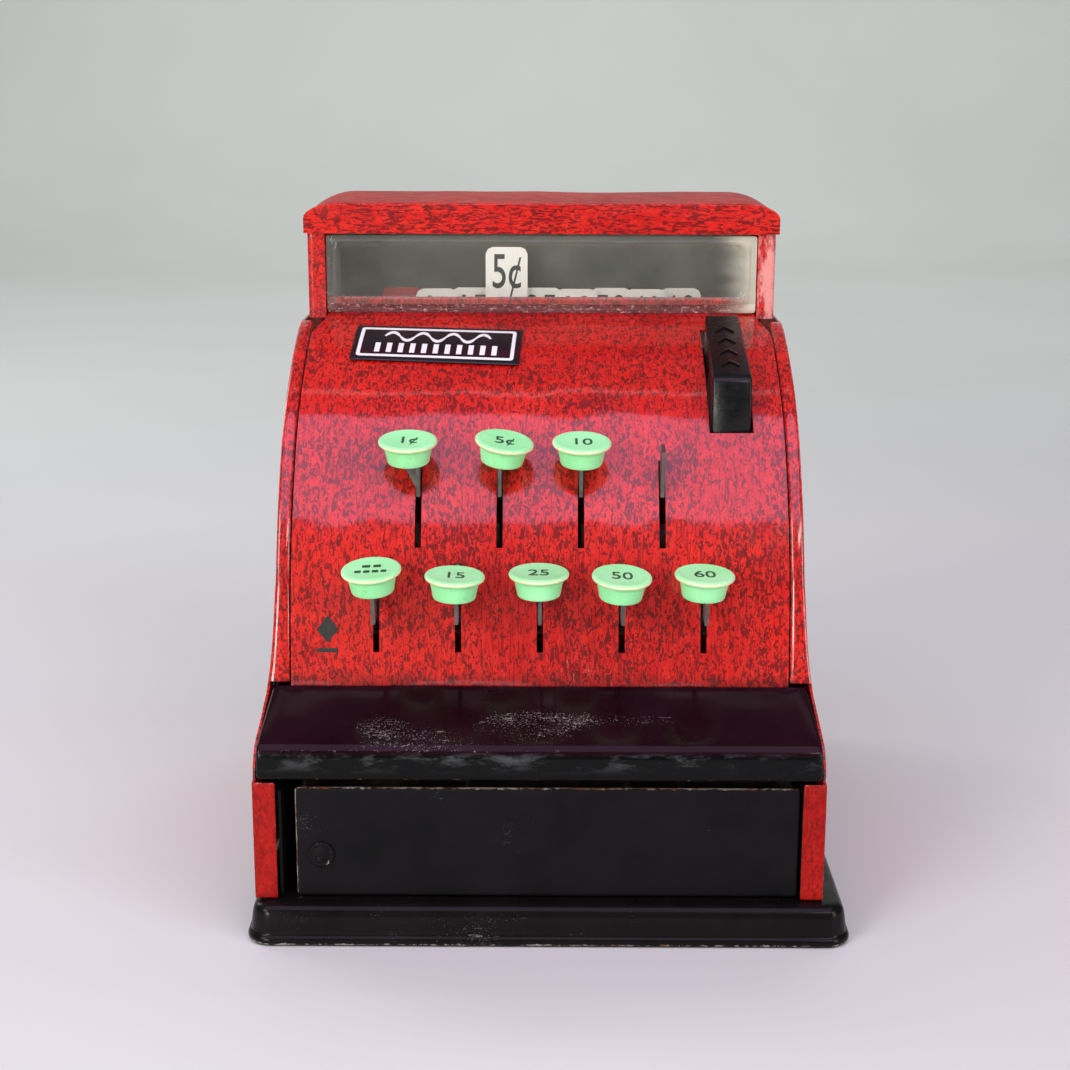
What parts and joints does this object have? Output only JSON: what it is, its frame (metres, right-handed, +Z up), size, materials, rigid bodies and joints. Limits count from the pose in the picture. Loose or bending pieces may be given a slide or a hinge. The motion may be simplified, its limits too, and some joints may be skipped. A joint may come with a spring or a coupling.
{
  "type": "toy cash register",
  "caption": "Pressed-tin toy cash register with a curved red front, interleaved key levers that raise price tags behind a window, a push lever and a sliding drawer.",
  "frame": {"origin": "centre of the footprint of the base pan, on the surface the register stands on", "axes": "+Z up, front (keys and drawer) towards -Y, +X to the right as seen by the user"},
  "size_m": [0.162, 0.176, 0.1891],
  "materials": {
    "red_litho": "glossy lithographed tinplate, mottled red",
    "black_enamel": "glossy black enamel, chipped at the edges",
    "drawer_black": "satin black enamel",
    "nameplate_ink": "black printed plate with a white border line",
    "clear_plastic": "clear vacuum-formed plastic, aged",
    "grey_card": "matt dark grey",
    "mint_plastic": "mint green moulded plastic",
    "steel": "plain mild steel, slightly tarnished",
    "tag_white": "off-white printed tag with a black numeral",
    "tag_red": "dark red printed tag",
    "tin": "bare tinplate",
    "push_plastic": "black moulded plastic, semi-gloss",
    "brass": "dull brass plating"
  },
  "bodies": {
    "case": {"base_pan": "black_enamel", "left_side_panel": "red_litho", "right_side_panel": "red_litho", "front_panel": "red_litho", "ledge_cover": "black_enamel", "back_panel": "red_litho", "head_case": "red_litho", "head_cap": "red_litho", "window": "clear_plastic", "tag_backdrop": "grey_card", "tag_guide": "tin", "nameplate": "nameplate_ink", "key_shaft": "steel", "lever_comb": "tin", "push_pin": "steel", "drawer_rail_left": "black_enamel", "drawer_rail_right": "black_enamel", "latch_pin": "steel", "drawer_kick_spring": "steel", "bell_gong": "brass", "bell_post": "steel", "hammer_pin": "steel"},
    "key_no_sale": {"key_lever_no_sale": "steel", "key_cap_no_sale": "mint_plastic"},
    "tag_no_sale": {"tag_no_sale": "tag_red"},
    "key_1c": {"key_lever_1c": "steel", "key_cap_1c": "mint_plastic"},
    "tag_1c": {"tag_1c": "tag_white"},
    "key_15": {"key_lever_15": "steel", "key_cap_15": "mint_plastic"},
    "tag_15": {"tag_15": "tag_white"},
    "key_5c": {"key_lever_5c": "steel", "key_cap_5c": "mint_plastic"},
    "tag_5c": {"tag_5c": "tag_white"},
    "key_25": {"key_lever_25": "steel", "key_cap_25": "mint_plastic"},
    "tag_25": {"tag_25": "tag_white"},
    "key_10": {"key_lever_10": "steel", "key_cap_10": "mint_plastic"},
    "tag_10": {"tag_10": "tag_white"},
    "key_50": {"key_lever_50": "steel", "key_cap_50": "mint_plastic"},
    "tag_50": {"tag_50": "tag_white"},
    "key_40": {"key_lever_40": "steel"},
    "tag_40": {"tag_40": "tag_white"},
    "key_60": {"key_lever_60": "steel", "key_cap_60": "mint_plastic"},
    "tag_60": {"tag_60": "tag_white"},
    "push": {"push_button": "push_plastic", "push_arm": "steel"},
    "drawer": {"drawer_tray": "tin", "drawer_front": "drawer_black", "drawer_rivet": "drawer_black", "drawer_divider_cross": "tin", "drawer_divider_left": "tin", "drawer_divider_right": "tin"},
    "latch": {"drawer_latch": "steel"},
    "hammer": {"bell_hammer": "brass"},
    "catch": {"tag_catch_bar": "tin"}
  },
  "joints": [
    {"name": "key_no_sale_press", "type": "hinge", "parent": "case", "child": "key_no_sale", "pos_m": [-0.047, 0.002, 0.073], "axis": [1, 0, 0], "range_deg": [0, 14.6], "stiffness_Nm_per_rad": 0.08, "springref_deg": -14.32},
    {"name": "tag_no_sale_lift", "type": "slide", "parent": "case", "child": "tag_no_sale", "axis": [0, 0, 1], "range_m": [0, 0.0141]},
    {"name": "key_1c_press", "type": "hinge", "parent": "case", "child": "key_1c", "pos_m": [-0.0359, 0.002, 0.073], "axis": [1, 0, 0], "range_deg": [0, 14.6], "stiffness_Nm_per_rad": 0.08, "springref_deg": -14.32},
    {"name": "tag_1c_lift", "type": "slide", "parent": "case", "child": "tag_1c", "axis": [0, 0, 1], "range_m": [0, 0.0133]},
    {"name": "key_15_press", "type": "hinge", "parent": "case", "child": "key_15", "pos_m": [-0.0248, 0.002, 0.073], "axis": [1, 0, 0], "range_deg": [0, 14.6], "stiffness_Nm_per_rad": 0.08, "springref_deg": -14.32},
    {"name": "tag_15_lift", "type": "slide", "parent": "case", "child": "tag_15", "axis": [0, 0, 1], "range_m": [0, 0.0141]},
    {"name": "key_5c_press", "type": "hinge", "parent": "case", "child": "key_5c", "pos_m": [-0.0137, 0.002, 0.073], "axis": [1, 0, 0], "range_deg": [0, 14.6], "stiffness_Nm_per_rad": 0.08, "springref_deg": -14.32},
    {"name": "tag_5c_drop", "type": "slide", "parent": "case", "child": "tag_5c", "axis": [0, 0, 1], "range_m": [-0.0132, 0]},
    {"name": "key_25_press", "type": "hinge", "parent": "case", "child": "key_25", "pos_m": [-0.0026, 0.002, 0.073], "axis": [1, 0, 0], "range_deg": [0, 14.6], "stiffness_Nm_per_rad": 0.08, "springref_deg": -14.32},
    {"name": "tag_25_lift", "type": "slide", "parent": "case", "child": "tag_25", "axis": [0, 0, 1], "range_m": [0, 0.0141]},
    {"name": "key_10_press", "type": "hinge", "parent": "case", "child": "key_10", "pos_m": [0.0085, 0.002, 0.073], "axis": [1, 0, 0], "range_deg": [0, 14.6], "stiffness_Nm_per_rad": 0.08, "springref_deg": -14.32},
    {"name": "tag_10_lift", "type": "slide", "parent": "case", "child": "tag_10", "axis": [0, 0, 1], "range_m": [0, 0.0133]},
    {"name": "key_50_press", "type": "hinge", "parent": "case", "child": "key_50", "pos_m": [0.0196, 0.002, 0.073], "axis": [1, 0, 0], "range_deg": [0, 14.6], "stiffness_Nm_per_rad": 0.08, "springref_deg": -14.32},
    {"name": "tag_50_lift", "type": "slide", "parent": "case", "child": "tag_50", "axis": [0, 0, 1], "range_m": [0, 0.0141]},
    {"name": "key_40_press", "type": "hinge", "parent": "case", "child": "key_40", "pos_m": [0.0307, 0.002, 0.073], "axis": [1, 0, 0], "range_deg": [0, 14.6], "stiffness_Nm_per_rad": 0.08, "springref_deg": -14.32},
    {"name": "tag_40_lift", "type": "slide", "parent": "case", "child": "tag_40", "axis": [0, 0, 1], "range_m": [0, 0.0133]},
    {"name": "key_60_press", "type": "hinge", "parent": "case", "child": "key_60", "pos_m": [0.0418, 0.002, 0.073], "axis": [1, 0, 0], "range_deg": [0, 14.6], "stiffness_Nm_per_rad": 0.08, "springref_deg": -14.32},
    {"name": "tag_60_lift", "type": "slide", "parent": "case", "child": "tag_60", "axis": [0, 0, 1], "range_m": [0, 0.0141]},
    {"name": "push_press", "type": "hinge", "parent": "case", "child": "push", "pos_m": [0.0504, 0.032, 0.143], "axis": [1, 0, 0], "range_deg": [0, 7], "stiffness_Nm_per_rad": 0.4, "springref_deg": -8.59},
    {"name": "drawer_slide", "type": "slide", "parent": "case", "child": "drawer", "axis": [0, -1, 0], "range_m": [0, 0.09]},
    {"name": "latch_lift", "type": "hinge", "parent": "case", "child": "latch", "pos_m": [0.0574, 0.0535, 0.051], "axis": [1, 0, 0], "range_deg": [-8.1, 0]},
    {"name": "hammer_swing", "type": "hinge", "parent": "case", "child": "hammer", "pos_m": [-0.0066, 0.0725, 0.075], "axis": [0, 1, 0], "range_deg": [-9.1, 0]},
    {"name": "catch_bar_tilt", "type": "hinge", "parent": "case", "child": "catch", "pos_m": [-0.0026, 0.0616, 0.115], "axis": [1, 0, 0], "range_deg": [-8, 0], "stiffness_Nm_per_rad": 0.05, "springref_deg": 17.19}
  ],
  "couplings": [
    {"joint": "tag_no_sale_lift", "follows": "key_no_sale_press", "m_per_rad": 0.0549},
    {"joint": "tag_1c_lift", "follows": "key_1c_press", "m_per_rad": 0.0518},
    {"joint": "tag_15_lift", "follows": "key_15_press", "m_per_rad": 0.0549},
    {"joint": "tag_25_lift", "follows": "key_25_press", "m_per_rad": 0.0549},
    {"joint": "tag_10_lift", "follows": "key_10_press", "m_per_rad": 0.0518},
    {"joint": "tag_50_lift", "follows": "key_50_press", "m_per_rad": 0.0549},
    {"joint": "tag_40_lift", "follows": "key_40_press", "m_per_rad": 0.0518},
    {"joint": "tag_60_lift", "follows": "key_60_press", "m_per_rad": 0.0549},
    {"joint": "latch_lift", "follows": "push_press", "ratio": -1.1429},
    {"joint": "hammer_swing", "follows": "push_press", "ratio": -1.2857}
  ]
}
